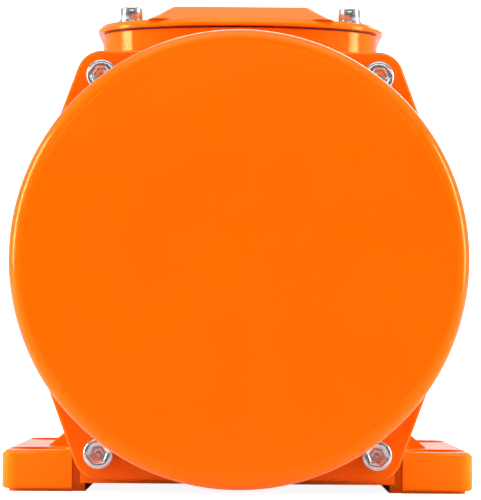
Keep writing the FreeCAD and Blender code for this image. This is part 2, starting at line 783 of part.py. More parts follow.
# ----------------------------------------------------------------------------- end shields and covers
def make_end_shield(end):
    """Bearing shield: lobed flange, spigot in the barrel, hub for the bearing, register for the cover."""
    body = new_body(f"{end}_bearing_shield", end, s.shaft_height)
    plate = Drawing(body, "XZ_Plane", s.body_half_length)
    pad(flange_outline(plate).circle(0, 0, s.hub_radius), s.shield_flange)
    spigot_start = s.body_half_length - s.spigot_depth
    spigot_inner = s.barrel_bore - s.spigot_wall
    ring_face = shield_face + s.register_height
    register = cover_bore - s.running_clearance
    register_inner = register - s.register_wall
    groove_floor = register - s.ring_groove_depth
    groove_start = shield_face + s.ring_groove_start
    groove_end = groove_start + s.ring_groove_width
    turned(body, [(spigot_start, spigot_inner), (spigot_start, s.barrel_bore), (s.body_half_length, s.barrel_bore),
                  (s.body_half_length, s.barrel_bore + s.bite), (shield_face, s.barrel_bore + s.bite),
                  (shield_face, s.hub_radius), (hub_end, s.hub_radius), (hub_end, seal_bore),
                  (bearing_end, seal_bore), (bearing_end, s.bearing_radius), (bearing_out, s.bearing_radius),
                  (bearing_out, s.hub_radius), (s.body_half_length, s.hub_radius),
                  (s.body_half_length, spigot_inner)])
    turned(body, [(shield_face - s.bite, register_inner), (ring_face, register_inner), (ring_face, register),
                  (groove_end, register), (groove_end, groove_floor), (groove_start, groove_floor),
                  (groove_start, register), (shield_face - s.bite, register)])
    face = Drawing(body, "XZ_Plane", shield_face)
    pocket(face.circles(s.cover_screw_x, s.cover_screw_z, s.cover_screw + s.screw_clearance), s.shield_flange)
    hole = Drawing(body, "XZ_Plane", shield_face)
    hole.circle(0, s.shield_screw_radius, s.small_screw + s.screw_clearance)
    around(body, [pocket(hole, s.shield_flange)], 4)
    hole = Drawing(body, "XZ_Plane", bearing_out)
    hole.circle(0, s.bearing_cover_screw_radius, s.small_screw)
    around(body, [pocket(hole, s.small_screw_grip + s.bite, Reversed=True)], 4)
    web = Drawing(body, "XZ_Plane", s.body_half_length)
    web.box(-s.shield_rib / 2, s.hub_radius - s.bite, s.shield_rib / 2, spigot_inner + s.bite)
    around(body, [pad(web, s.spigot_depth, Reversed=True)], s.shield_rib_count)

    ring = new_body(f"{end}_cover_ring", end, s.shaft_height)
    middle = groove_start + s.ring_groove_width / 2
    half = s.ring_groove_width / 2 - s.side_clearance
    turned(ring, [(middle - half, groove_floor), (middle - half, register), (middle, cover_bore),
                  (middle + half, register), (middle + half, groove_floor)])


def make_weight_cover(end):
    """Round cover over the eccentric weights: a drawn cup with a lobed flange."""
    body = new_body(f"{end}_weight_cover", end, s.shaft_height)
    inside = cover_face - s.cover_wall
    pad(flange_outline(Drawing(body, "XZ_Plane", shield_face)), s.cover_flange)
    soften(body, "Chamfer", s.flange_edge, lambda middle, edge: near(middle.y, -cover_seat))
    turned(body, [(shield_face + s.bite, 0), (shield_face + s.bite, s.cover_radius), (cover_face, s.cover_radius),
                  (cover_face, 0)])
    soften(body, "Fillet", s.cover_edge, lambda middle, edge: near(middle.y, -cover_face))
    cavity = Drawing(body, "YZ_Plane")
    corner = s.cover_edge - s.cover_wall
    cavity.polygon([(-shield_face, 0), (-shield_face, cover_bore), (corner - inside, cover_bore),
                    (-inside, cover_bore - corner), (-inside, 0)])
    feature(cavity, "Groove", ReferenceAxis=(cavity.sketch, ["H_Axis"]), Angle=360)
    face = Drawing(body, "XZ_Plane", cover_seat)
    pocket(face.circles(s.cover_screw_x, s.cover_screw_z, s.cover_screw + s.screw_clearance), s.cover_flange)


# ----------------------------------------------------------------------------- bearings
def make_bearing(end):
    """Cylindrical roller bearing: ribbed outer ring, plain inner ring, rollers in a windowed cage."""
    label = f"{end}_bearing"
    outer = new_body(f"{label}_outer_ring", end, s.shaft_height)
    middle = bearing_out + s.bearing_width / 2
    half_track = s.roller_length / 2 + s.side_clearance
    rib = outer_race - s.roller_rib
    turned(outer, [(bearing_out, s.bearing_radius), (bearing_end, s.bearing_radius), (bearing_end, rib),
                   (middle + half_track, rib), (middle + half_track, outer_race),
                   (middle - half_track, outer_race), (middle - half_track, rib), (bearing_out, rib)])
    inner = new_body(f"{label}_inner_ring", end, s.shaft_height)
    turned(inner, [(bearing_out, s.bearing_bore), (bearing_end, s.bearing_bore), (bearing_end, inner_race),
                   (bearing_out, inner_race)])
    rollers = new_body(f"{label}_rollers", end, s.shaft_height)
    roller = Drawing(rollers, "XZ_Plane", middle)
    roller.circle(0, s.roller_pitch_radius, s.roller_radius - s.running_clearance)
    pad_both(roller, s.roller_length)
    around(rollers, None, s.roller_count)
    cage = new_body(f"{label}_cage", end, s.shaft_height)
    half_cage = s.roller_length / 2 + s.side_clearance + s.cage_end
    cage_top = rib - s.cage_clearance
    cage_low = cage_top - s.cage_wall
    turned(cage, [(middle - half_cage, cage_low), (middle + half_cage, cage_low),
                  (middle + half_cage, cage_top), (middle - half_cage, cage_top)])
    window = Drawing(cage, "XZ_Plane", middle - half_track)
    window.circle(0, s.roller_pitch_radius, s.roller_radius + s.side_clearance)
    around(cage, [pocket(window, half_track * 2, Reversed=True)], s.roller_count)


# ----------------------------------------------------------------------------- shaft, rotor, stator
def make_shaft():
    """Stepped shaft with a keyway and a ring groove near each end."""
    body = new_body("motor_shaft", height=s.shaft_height)
    shoulder_start = rotor_half_length + s.end_ring_height
    groove_end = dial_end + s.clip_thickness
    groove_radius = s.bearing_bore - s.clip_depth
    chamfer = s.shaft_chamfer
    half = [(0, s.rotor_seat_radius), (shoulder_start, s.rotor_seat_radius), (shoulder_start, s.shaft_shoulder),
            (bearing_out, s.shaft_shoulder), (bearing_out, s.bearing_bore), (dial_end, s.bearing_bore),
            (dial_end, groove_radius), (groove_end, groove_radius), (groove_end, s.bearing_bore),
            (shaft_half_length - chamfer, s.bearing_bore), (shaft_half_length, s.bearing_bore - chamfer),
            (shaft_half_length, 0)]
    turned(body, half + [(0, 0)])
    way = Drawing(body, "XY_Plane", s.bearing_bore)
    way.box(-s.key_width / 2, -(key_start + s.key_length), s.key_width / 2, -key_start)
    pocket(way, s.key_depth)
    mirrored(body, "XZ_Plane")


def make_rotor():
    """Laminated rotor core, and the cast end rings of its cage."""
    core = new_body("rotor_core", height=s.shaft_height)
    pad_both(Drawing(core, "XZ_Plane").circle(0, 0, s.rotor_radius).circle(0, 0, s.rotor_seat_radius),
             rotor_half_length * 2)
    rings = new_body("rotor_end_rings", height=s.shaft_height)
    ring_end = rotor_half_length + s.end_ring_height
    turned(rings, [(rotor_half_length, s.end_ring_inner), (rotor_half_length, s.rotor_radius - s.bite),
                   (ring_end, s.rotor_radius - s.bite * 2), (ring_end, s.end_ring_inner)])
    mirrored(rings, "XZ_Plane")


def make_stator():
    """Slotted stator core, and its winding: bars in the slots joined by a coil head at each end."""
    bore = s.rotor_radius + s.air_gap
    slot_top = bore + s.slot_lip
    core = new_body("stator_core", height=s.shaft_height)
    pad_both(Drawing(core, "XZ_Plane").circle(0, 0, s.barrel_bore).circle(0, 0, bore), stator_half_length * 2)
    slot = Drawing(core, "XZ_Plane", stator_half_length)
    mouth, half = s.slot_mouth / 2, s.slot_width / 2
    slot.polygon([(mouth, bore - s.bite), (mouth, slot_top), (half, slot_top + half / 2), (half, s.slot_bottom),
                  (-half, s.slot_bottom), (-half, slot_top + half / 2), (-mouth, slot_top), (-mouth, bore - s.bite)])
    around(core, [pocket(slot, stator_half_length * 2)], s.slot_count)

    winding = new_body("stator_winding", height=s.shaft_height)
    edge = s.coil_edge
    turned(winding, [(stator_half_length + s.bite, s.coil_inner), (stator_half_length + s.bite, s.slot_bottom),
                     (coil_out - edge * 2, s.coil_outer), (coil_out - edge, s.coil_outer),
                     (coil_out, s.coil_outer - edge), (coil_out, s.coil_inner + edge),
                     (coil_out - edge, s.coil_inner)])
    bar = Drawing(winding, "XZ_Plane")
    liner = s.slot_liner
    bar.box(liner - half, slot_top + half, half - liner, s.slot_bottom - liner)
    around(winding, [pad(bar, stator_half_length + s.bite * 2)], s.slot_count)
    mirrored(winding, "XZ_Plane")


# ----------------------------------------------------------------------------- eccentric weights
def weight_blank(label, start, end):
    """Half-round weight hanging from a hub."""
    body = new_body(label, end, s.shaft_height)
    pad(Drawing(body, "XZ_Plane", start).segment(s.weight_radius, -s.weight_chord), s.weight_thickness)
    pad(Drawing(body, "XZ_Plane", start).circle(0, 0, s.weight_hub), s.weight_thickness)
    return body


def make_weights(end):
    """Keyed inner weight and clamped outer weight, with the dial and the ring that hold them."""
    fixed = weight_blank(f"{end}_fixed_weight", weight_start, end)
    bore = Drawing(fixed, "XZ_Plane", weight_end).circle(0, 0, s.bearing_bore)
    pocket(bore, s.weight_thickness)
    key_top = s.bearing_bore - s.key_depth + s.key_height
    slot = Drawing(fixed, "XZ_Plane", weight_end)
    slot.box(-s.key_width / 2, 0, s.key_width / 2, key_top + s.side_clearance)
    pocket(slot, s.weight_thickness)

    key = new_body(f"{end}_weight_key", end, s.shaft_height)
    blank = Drawing(key, "XY_Plane", s.bearing_bore - s.key_depth)
    pad(blank.box(-s.key_width / 2, -(key_start + s.key_length), s.key_width / 2, -key_start), s.key_height)

    loose = weight_blank(f"{end}_adjustable_weight", loose_start, end)
    ear = s.clamp_ear_width / 2
    ears = Drawing(loose, "XZ_Plane", loose_start).box(-ear, 0, ear, s.clamp_ear_top)
    pad(ears, s.weight_thickness)
    bore = Drawing(loose, "XZ_Plane", loose_end).circle(0, 0, s.bearing_bore + s.running_clearance)
    pocket(bore, s.weight_thickness)
    split = Drawing(loose, "XZ_Plane", loose_end)
    split.box(-s.clamp_split / 2, 0, s.clamp_split / 2, s.clamp_ear_top + s.bite)
    pocket(split, s.weight_thickness)
    hole = Drawing(loose, "YZ_Plane")
    hole.circle(clamp_y, s.clamp_bolt_z, s.clamp_screw + s.screw_clearance)
    drill(hole)

    bolt = new_body(f"{end}_clamp_bolt", end, s.shaft_height)
    reach = s.clamp_nut_height + s.clamp_bolt_tail
    shank = Drawing(bolt, "YZ_Plane", -(ear + reach)).circle(clamp_y, s.clamp_bolt_z, s.clamp_screw)
    pad(shank, s.clamp_ear_width + reach)
    head = Drawing(bolt, "YZ_Plane", ear).circle(clamp_y, s.clamp_bolt_z, s.clamp_screw_head)
    pad(head, s.clamp_screw * 2)
    socket = Drawing(bolt, "YZ_Plane", ear + s.clamp_screw * 2)
    pocket(socket.hexagon(clamp_y, s.clamp_bolt_z, s.clamp_screw_key), s.clamp_screw)

    nut = new_body(f"{end}_clamp_nut", end, s.shaft_height)
    blank = Drawing(nut, "YZ_Plane", -ear).hexagon(clamp_y, s.clamp_bolt_z, s.clamp_nut_width)
    pad(blank.circle(clamp_y, s.clamp_bolt_z, s.clamp_screw), s.clamp_nut_height, Reversed=True)

    sleeve = new_body(f"{end}_spacer_sleeve", end, s.shaft_height)
    turned(sleeve, [(bearing_end, s.bearing_bore), (weight_start, s.bearing_bore), (weight_start, inner_race),
                    (bearing_end, inner_race)])
    seal = new_body(f"{end}_shaft_seal", end, s.shaft_height)
    lip = inner_race + s.running_clearance
    turned(seal, [(bearing_end + s.seal_inset, seal_bore), (hub_end, seal_bore), (hub_end, seal_bore - s.seal_wall),
                  (bearing_end + s.seal_inset * 2, seal_bore - s.seal_wall), (hub_end, lip + s.seal_wall / 2),
                  (hub_end, lip), (bearing_end + s.seal_inset, lip)])

    dial = new_body(f"{end}_setting_dial", end, s.shaft_height)
    plate = Drawing(dial, "XZ_Plane", dial_start).circle(0, 0, s.dial_radius).circle(0, 0, s.bearing_bore)
    pad(plate, s.dial_thickness)
    notch = Drawing(dial, "XZ_Plane", dial_end)
    notch.polygon([(-s.dial_notch / 2, s.dial_radius + s.bite), (0, s.dial_radius - s.dial_notch),
                   (s.dial_notch / 2, s.dial_radius + s.bite)])
    around(dial, [pocket(notch, s.dial_thickness)], s.dial_notches)

    clip = new_body(f"{end}_retaining_ring", end, s.shaft_height)
    groove = s.bearing_bore - s.clip_depth
    ring = Drawing(clip, "XZ_Plane", dial_end).circle(0, 0, groove + s.clip_width).circle(0, 0, groove)
    pad(ring, s.clip_thickness)
    lugs = Drawing(clip, "XZ_Plane", dial_end)
    lug = s.clip_width
    lugs.box_pair(lug / 2, groove + 0.5, lug * 2, groove + lug * 1.6)
    pad(lugs, s.clip_thickness)
    gap = Drawing(clip, "XZ_Plane", dial_end + s.clip_thickness)
    pocket(gap.box(-lug / 2, 0, lug / 2, groove + lug * 2), s.clip_thickness)


# ----------------------------------------------------------------------------- terminal box
def make_lid():
    """Bow-ended lid with a sloping raised crown, its gasket and its four screws."""
    lid = new_body("terminal_box_lid")
    bind(lid, ".Placement.Base.y", s.box_middle_y)
    pad(box_outline(Drawing(lid, "XY_Plane", lid_low), -s.lid_overhang), s.lid_rim)
    soften(lid, "Chamfer", s.lid_edge, lambda middle, edge: near(middle.z, lid_seat))
    top_x = s.crown_half_width - s.crown_side_slope
    top_y = crown_half_length - s.crown_end_slope
    base = Drawing(lid, "XY_Plane", lid_seat).rounded_box(s.crown_half_width, crown_half_length, s.crown_corner)
    top = Drawing(lid, "XY_Plane", lid_seat + s.lid_crown).rounded_box(top_x, top_y, s.crown_corner)
    crown = lid.newObject("PartDesign::AdditiveLoft", "Crown")
    crown.Profile = base.sketch
    crown.Sections = [top.sketch]
    crown.Ruled = True
    doc.recompute()
    soften(lid, "Fillet", s.crown_edge, lambda middle, edge: near(middle.z, lid_seat + s.lid_crown))
    hollow = Drawing(lid, "XY_Plane", lid_low)
    hollow.box(s.lid_skin - top_x, s.lid_skin - top_y, top_x - s.lid_skin, top_y - s.lid_skin)
    pocket(hollow, s.lid_rim + s.lid_crown - s.lid_skin, Reversed=True)
    holes = Drawing(lid, "XY_Plane", lid_seat)
    pocket(holes.circles(s.lid_screw_x, lid_screw_y, s.small_screw + s.screw_clearance), s.lid_rim)

    gasket = new_body("lid_gasket")
    bind(gasket, ".Placement.Base.y", s.box_middle_y)
    ring = box_outline(Drawing(gasket, "XY_Plane", box_top_z), s.gasket_inset)
    box_outline(ring, s.box_wall - s.gasket_inset)
    pad(ring, s.gasket_thickness)
    ears = Drawing(gasket, "XY_Plane", box_top_z)
    pad(ears.circles(s.lid_screw_x, lid_screw_y, s.lid_boss - s.gasket_inset), s.gasket_thickness)
    holes = Drawing(gasket, "XY_Plane", lid_low)
    pocket(holes.circles(s.lid_screw_x, lid_screw_y, s.small_screw + s.screw_clearance), s.gasket_thickness)

    washers = new_body("lid_washers")
    bind(washers, ".Placement.Base.y", s.box_middle_y)
    rings = Drawing(washers, "XY_Plane", lid_seat)
    rings.circles(s.lid_screw_x, lid_screw_y, s.washer_radius)
    rings.circles(s.lid_screw_x, lid_screw_y, s.small_screw + s.screw_clearance)
    pad(rings, s.washer_thickness)

    grip = s.washer_thickness + s.lid_rim + s.gasket_thickness + s.small_screw_grip
    screws = socket_screws("lid_screws", "XY_Plane", lid_seat + s.washer_thickness, s.lid_screw_x, lid_screw_y,
                           s.small_screw, s.small_screw_head, grip, s.small_screw_key, middle_y=s.box_middle_y)
    mirrored(screws, "YZ_Plane", "XZ_Plane")


def make_terminals():
    """Terminal block with barriers, six studs, their nuts, the star link and the earth screw."""
    def at_block(label):
        body = new_body(label)
        bind(body, ".Placement.Base.y", s.box_middle_y)
        return body
    half_width = s.stud_pitch * 1.5
    block = at_block("terminal_block")
    half_depth = s.stud_row + s.block_margin
    base = Drawing(block, "XY_Plane", box_floor_z).box(-half_width, -half_depth, half_width, half_depth)
    pad(base, s.block_height)
    barriers = Drawing(block, "XY_Plane", block_top)
    barriers.box_pair(s.stud_pitch / 2 - s.barrier / 2, -half_depth, s.stud_pitch / 2 + s.barrier / 2, half_depth)
    pad(barriers, s.barrier_height)
    stud_places = [(x, y) for x in (-s.stud_pitch, Size.of(0), s.stud_pitch) for y in (-s.stud_row, s.stud_row)]
    holes = Drawing(block, "XY_Plane", block_top)
    for x, y in stud_places:
        holes.circle(x, y, s.stud_radius)
    pocket(holes, s.stud_sunk)

    studs = at_block("terminal_studs")
    shanks = Drawing(studs, "XY_Plane", block_top - s.stud_sunk)
    nuts = at_block("terminal_nuts")
    nut_seat = block_top + s.link_thickness
    blanks = Drawing(nuts, "XY_Plane", nut_seat)
    for x, y in stud_places:
        shanks.circle(x, y, s.stud_radius)
        blanks.hexagon(x, y, s.stud_nut_width).circle(x, y, s.stud_radius)
    pad(shanks, s.stud_sunk + s.stud_height)
    pad(blanks, s.stud_nut_height)

    links = at_block("star_link")
    strip = Drawing(links, "XY_Plane", block_top)
    half_strip = s.stud_nut_width / 2
    gap = s.stud_pitch / 2 - s.barrier / 2 - s.screw_clearance
    for x in (-s.stud_pitch, Size.of(0), s.stud_pitch):
        strip.box(x - gap, -s.stud_row - half_strip, x + gap, half_strip - s.stud_row)
    for x in (-s.stud_pitch, Size.of(0), s.stud_pitch):
        strip.circle(x, -s.stud_row, s.stud_radius)
    pad(strip, s.link_thickness)

    earth = at_block("earth_screw")
    pad(Drawing(earth, "XY_Plane", box_floor_z).circle(-s.earth_x, s.earth_y, s.stud_radius),
        s.earth_reach, Reversed=True)
    pad(Drawing(earth, "XY_Plane", box_floor_z).circle(-s.earth_x, s.earth_y, s.stud_nut_width / 2 + s.bite),
        s.stud_nut_height)


def make_gland():
    """Cable gland in the rear wall of the box: body, seal and dome nut."""
    seat = -(s.box_middle_y + box_half_length + s.gland_boss_height)
    wall = s.gland_boss_height + s.box_wall
    body = new_body("cable_gland_body", height=gland_z)
    pad(Drawing(body, "XZ_Plane", seat).circle(0, 0, s.gland_thread), wall)
    flats = Drawing(body, "XZ_Plane", seat).hexagon(Size.of(0), Size.of(0), s.gland_hex)
    pad(flats, s.gland_hex_height, Reversed=True)
    neck = Drawing(body, "XZ_Plane", seat - s.gland_hex_height).circle(0, 0, s.gland_thread)
    pad(neck, s.gland_nut_length / 2, Reversed=True)
    seal_radius = s.gland_bore + s.gland_seal_wall
    length = wall + s.gland_hex_height + s.gland_nut_length / 2
    pocket(Drawing(body, "XZ_Plane", seat + wall).circle(0, 0, seal_radius), length)

    seal_start = seat - s.gland_hex_height - s.gland_seal_seat
    seal = new_body("cable_gland_seal", height=gland_z)
    ring = Drawing(seal, "XZ_Plane", seal_start).circle(0, 0, seal_radius).circle(0, 0, s.gland_bore)
    pad(ring, s.gland_nut_length)

    nut = new_body("cable_gland_nut", height=gland_z)
    start = seat - s.gland_hex_height
    shell = Drawing(nut, "XZ_Plane", start).hexagon(Size.of(0), Size.of(0), s.gland_hex)
    pad(shell, s.gland_nut_length, Reversed=True)
    pocket(Drawing(nut, "XZ_Plane", start).circle(0, 0, s.gland_thread), s.gland_nut_length / 2 + s.bite)
    pocket(Drawing(nut, "XZ_Plane", start).circle(0, 0, seal_radius), s.gland_seal_seat)
    pocket(Drawing(nut, "XZ_Plane", start).circle(0, 0, s.gland_bore), s.gland_nut_length)


# ----------------------------------------------------------------------------- build, check, write
key_start = weight_start + (s.weight_thickness - s.key_length) / 2
clamp_y = -(loose_start + s.weight_thickness / 2)

make_housing()
make_foot_rails()
make_shaft()
make_rotor()
make_stator()
for end in (FRONT, REAR):
    make_end_shield(end)
    make_bearing_cover(end)
    make_bearing(end)
    make_weights(end)
    make_weight_cover(end)
    make_end_screws(end)
make_lid()
make_terminals()
make_gland()

doc.recompute()
faulty = [item.Name for item in doc.Objects if {"Invalid", "Error"} & set(item.State)]
bodies = [item for item in doc.Objects if item.TypeId == "PartDesign::Body"]
faulty += [body.Label for body in bodies if body.Shape.isNull() or not body.Shape.isValid()]
if faulty:
    raise RuntimeError(f"not built: {faulty}")
os.makedirs("parts", exist_ok=True)
for body in bodies:
    body.Shape.exportStep(f"parts/{body.Label}.step")
print(len(bodies), "sub-parts,", sum(len(body.Shape.Solids) for body in bodies), "solids")
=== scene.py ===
"""Foot-mounted vibration motor: finishes, socket screws, floor, light and camera.

Everything is in metres, with +Z up and the shaft along Y.  The cast and turned pieces come ready made;
this script gives each its finish, and makes the socket screws, whose heads need finer work than a solid has.
"""
import bpy
import bmesh
import json
import math
from mathutils import Matrix, Vector


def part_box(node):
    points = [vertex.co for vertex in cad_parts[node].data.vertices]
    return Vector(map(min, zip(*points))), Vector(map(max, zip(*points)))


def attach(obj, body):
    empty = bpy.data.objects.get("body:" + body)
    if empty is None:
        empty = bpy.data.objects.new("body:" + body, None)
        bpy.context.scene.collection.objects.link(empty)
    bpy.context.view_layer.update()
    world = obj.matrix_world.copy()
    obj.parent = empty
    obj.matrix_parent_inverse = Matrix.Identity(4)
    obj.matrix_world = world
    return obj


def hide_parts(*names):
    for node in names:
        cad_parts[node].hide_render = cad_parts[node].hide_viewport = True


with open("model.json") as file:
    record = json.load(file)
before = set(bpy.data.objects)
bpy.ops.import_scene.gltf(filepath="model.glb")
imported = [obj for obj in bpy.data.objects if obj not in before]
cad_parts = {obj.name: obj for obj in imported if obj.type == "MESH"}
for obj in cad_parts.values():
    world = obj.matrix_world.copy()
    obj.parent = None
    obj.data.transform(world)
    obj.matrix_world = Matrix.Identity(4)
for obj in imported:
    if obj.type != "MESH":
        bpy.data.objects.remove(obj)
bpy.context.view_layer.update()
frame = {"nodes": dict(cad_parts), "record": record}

NODES = frame["nodes"]
SHAFT_HEIGHT = sum(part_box("motor_shaft")[end].z for end in (0, 1)) / 2
ENDS = {"front": -1, "rear": 1}
FOOT_CROWN = 0.0012
MIRROR_LOSS = 0.45
FRONT_FILL = 0.12
FLOOR_WHITE = (0.92, 0.92, 0.915)
FLOOR_GLOW = 0.92
FLOOR_FRONT, FLOOR_BACK, FLOOR_HALF_WIDTH = -2.4, 2.6, 3.5
SWEEP, SWEEP_STEPS, WALL_HEIGHT = 0.9, 12, 4.0
scene = bpy.context.scene
scene.view_settings.view_transform = "Standard"


# ----------------------------------------------------------------------------- nodes
def add_node(tree, kind, settings=(), **inputs):
    """A node with its settings, and with each input, by name or as _number, either set or wired."""
    made = tree.nodes.new(kind)
    for name, value in dict(settings).items():
        setattr(made, name, value)
    for name, value in inputs.items():
        socket = made.inputs[int(name[1:]) if name[1:].isdigit() else name.replace("_", " ")]
        if isinstance(value, bpy.types.NodeSocket):
            tree.links.new(value, socket)
        else:
            socket.default_value = value
    return made


def arithmetic(tree, operation, *values):
    """The result of a sum of plain numbers and sockets."""
    terms = {f"_{n}": value for n, value in enumerate(values)}
    return add_node(tree, "ShaderNodeMath", {"operation": operation}, **terms).outputs[0]


# ----------------------------------------------------------------------------- finishes
class Finish:
    """A node material whose pattern lies on the piece's own coordinates, so it stays on when it moves."""

    def __init__(self, name, colour, roughness, metallic=0.0, **sockets):
        self.material = bpy.data.materials.new(name)
        self.material.use_nodes = True
        self.tree = self.material.node_tree
        self.skin = self.tree.nodes["Principled BSDF"]
        self.skin.inputs["Base Color"].default_value = (*colour, 1)
        self.skin.inputs["Roughness"].default_value = roughness
        self.skin.inputs["Metallic"].default_value = metallic
        for socket, value in sockets.items():
            self.skin.inputs[socket.replace("_", " ")].default_value = value
        self.material.diffuse_color = (*colour, 1)
        self.material.metallic = metallic
        self.material.roughness = roughness
        self.place = self.node("ShaderNodeTexCoord").outputs["Object"]

    def node(self, kind, settings=(), **inputs):
        return add_node(self.tree, kind, settings, **inputs)

    def arithmetic(self, operation, *values):
        return arithmetic(self.tree, operation, *values)

    def stretched(self, scale, centre=(0, 0, 0)):
        """The piece's coordinates about a centre, drawn out along the axes with a small scale."""
        moved = self.node("ShaderNodeVectorMath", {"operation": "SUBTRACT"}, _0=self.place, _1=centre)
        return self.node("ShaderNodeVectorMath", {"operation": "MULTIPLY"},
                         _0=moved.outputs[0], _1=scale).outputs[0]

    def grain(self, scale, detail=2.0, roughness=0.5, place=None):
        """Fine random texture, scale to the metre."""
        return self.node("ShaderNodeTexNoise", Vector=place or self.place, Scale=scale,
                         Detail=detail, Roughness=roughness).outputs["Fac"]

    def pebbles(self, scale, place=None):
        """Rounded cells, as the dimples of orange peel or the sand grains of a casting have."""
        return self.node("ShaderNodeTexVoronoi", {"feature": "SMOOTH_F1"}, Vector=place or self.place,
                         Scale=scale, Smoothness=1.0).outputs["Distance"]

    def lathe_marks(self, pitch, wobble=2.0):
        """Rings round the shaft line, as a turning tool leaves."""
        about = self.stretched((1, 1, 1), (0, 0, SHAFT_HEIGHT))
        return self.node("ShaderNodeTexWave", {"wave_type": "RINGS", "rings_direction": "Y"},
                         Vector=about, Scale=1 / pitch, Distortion=wobble, Detail=2.0).outputs["Fac"]

    def crowned(self, middle, half):
        """A swell that is highest at a middle height and gone at half above and below it."""
        up = self.node("ShaderNodeSeparateXYZ", _0=self.place).outputs["Z"]
        off = self.spread(up, -1.0, 1.0, (middle - half, middle + half))
        return self.arithmetic("MULTIPLY_ADD", off, self.arithmetic("MULTIPLY", off, -1.0), 1.0)

    def spread(self, pattern, low, high, reach=(0.3, 0.7)):
        """A pattern turned into values from low to high."""
        return self.node("ShaderNodeMapRange", {"clamp": True}, Value=pattern, From_Min=reach[0],
                         From_Max=reach[1], To_Min=low, To_Max=high).outputs["Result"]

    def tint(self, pattern, dark, light, reach=(0.35, 0.65)):
        """The base colour runs from dark to light with the pattern."""
        mix = self.node("ShaderNodeMix", {"data_type": "RGBA"})
        share = self.spread(pattern, 0.0, 1.0, reach)
        self.tree.links.new(share, mix.inputs["Factor"])
        mix.inputs[6].default_value = (*dark, 1)
        mix.inputs[7].default_value = (*light, 1)
        self.tree.links.new(mix.outputs[2], self.skin.inputs["Base Color"])
        return self

    def sheen_of(self, pattern, low, high, reach=(0.3, 0.7)):
        """The roughness runs from low to high with the pattern."""
        self.tree.links.new(self.spread(pattern, low, high, reach), self.skin.inputs["Roughness"])
        return self

    def relief(self, *layers, soft_edge=0.0):
        """Bumps one on another, each a pattern and the depth that it stands, over softened edges."""
        under = None
        if soft_edge:
            under = self.node("ShaderNodeBevel", {"samples": 6}, Radius=soft_edge).outputs["Normal"]
        for pattern, depth in layers:
            bump = self.node("ShaderNodeBump", Height=pattern, Distance=depth, Strength=1.0)
            if under:
                self.tree.links.new(under, bump.inputs["Normal"])
            under = bump.outputs["Normal"]
        self.tree.links.new(under, self.skin.inputs["Normal"])
        return self


def powder_coat(name, casting_depth, peel_depth=0.000012, red=0.93, green=0.130, crown=None):
    """Glossy orange powder coat: orange peel over whatever the metal under it is like, crowned if asked."""
    coat = Finish(name, (red, green, 0.0004), 0.17, Specular_IOR_Level=0.5, Specular_Tint=(1, 0.66, 0.15, 1))
    coat.tint(coat.grain(22, 3), (red * 0.98, green * 0.975, 0.0004), (red * 1.02, green * 1.03, 0.0004))
    coat.sheen_of(coat.grain(60, 3), 0.13, 0.21)
    layers = [(coat.grain(95, 4, 0.55), casting_depth), (coat.pebbles(420), peel_depth)]
    if crown:
        layers.insert(0, (coat.crowned(*crown), FOOT_CROWN))
    coat.relief(*layers, soft_edge=0.0009)
    return coat.material


def bright_zinc():
    plate = Finish("bright zinc plate", (0.62, 0.68, 0.74), 0.15, 0.82)
    plate.tint(plate.grain(300, 3), (0.54, 0.60, 0.66), (0.68, 0.74, 0.80))
    plate.sheen_of(plate.grain(900, 3), 0.09, 0.20)
    plate.relief((plate.grain(1500, 3), 0.000003))
    return plate.material


def metal(name, dark, light, roughness, marks=None, bite=0.000006, mottle=150):
    """Bare metal: a slight mottle, with tool marks of the given pitch where it was turned."""
    bare = Finish(name, light, roughness, 1.0)
    cloud = bare.grain(mottle, 4)
    bare.tint(cloud, dark, light)
    bare.sheen_of(bare.grain(mottle * 4, 3), roughness * 0.8, roughness * 1.25)
    layers = [(bare.grain(mottle * 8, 3), bite)]
    if marks:
        layers.append((bare.lathe_marks(marks), bite))
    bare.relief(*layers)
    return bare.material


def rolled_sheets(name, pitch):
    """Sheet-steel punchings stacked along the shaft, one line for each sheet."""
    stack = Finish(name, (0.20, 0.21, 0.24), 0.45, 0.9)
    along = stack.stretched((0, 1, 0))
    sheets = stack.node("ShaderNodeTexWave", {"wave_type": "BANDS", "bands_direction": "Y",
                                              "wave_profile": "SAW"},
                        Vector=along, Scale=0.314 / pitch, Distortion=0.0).outputs["Fac"]
    stack.tint(stack.grain(220, 3), (0.13, 0.14, 0.17), (0.26, 0.27, 0.31))
    stack.sheen_of(stack.grain(700, 2), 0.36, 0.55)
    stack.relief((sheets, 0.00012), (stack.grain(900, 3), 0.00001))
    return stack.material


def enamelled_copper():
    wire = Finish("enamelled copper wire", (0.42, 0.115, 0.035), 0.28, 0.75, Coat_Weight=0.5,
                  Coat_Roughness=0.12)
    wire.tint(wire.grain(260, 3), (0.30, 0.07, 0.02), (0.55, 0.17, 0.055))
    wire.sheen_of(wire.grain(120, 3), 0.22, 0.40)
    wire.relief((wire.grain(700, 3), 0.00003))
    return wire.material


def moulded(name, dark, light, roughness, grit=900, depth=0.00001):
    """Moulded plastic or rubber with a fine spark-eroded surface."""
    skin = Finish(name, light, roughness)
    skin.tint(skin.grain(120, 3), dark, light)
    skin.sheen_of(skin.grain(350, 2), roughness * 0.85, min(1.0, roughness * 1.15))
    skin.relief((skin.grain(grit, 3), depth))
    return skin.material


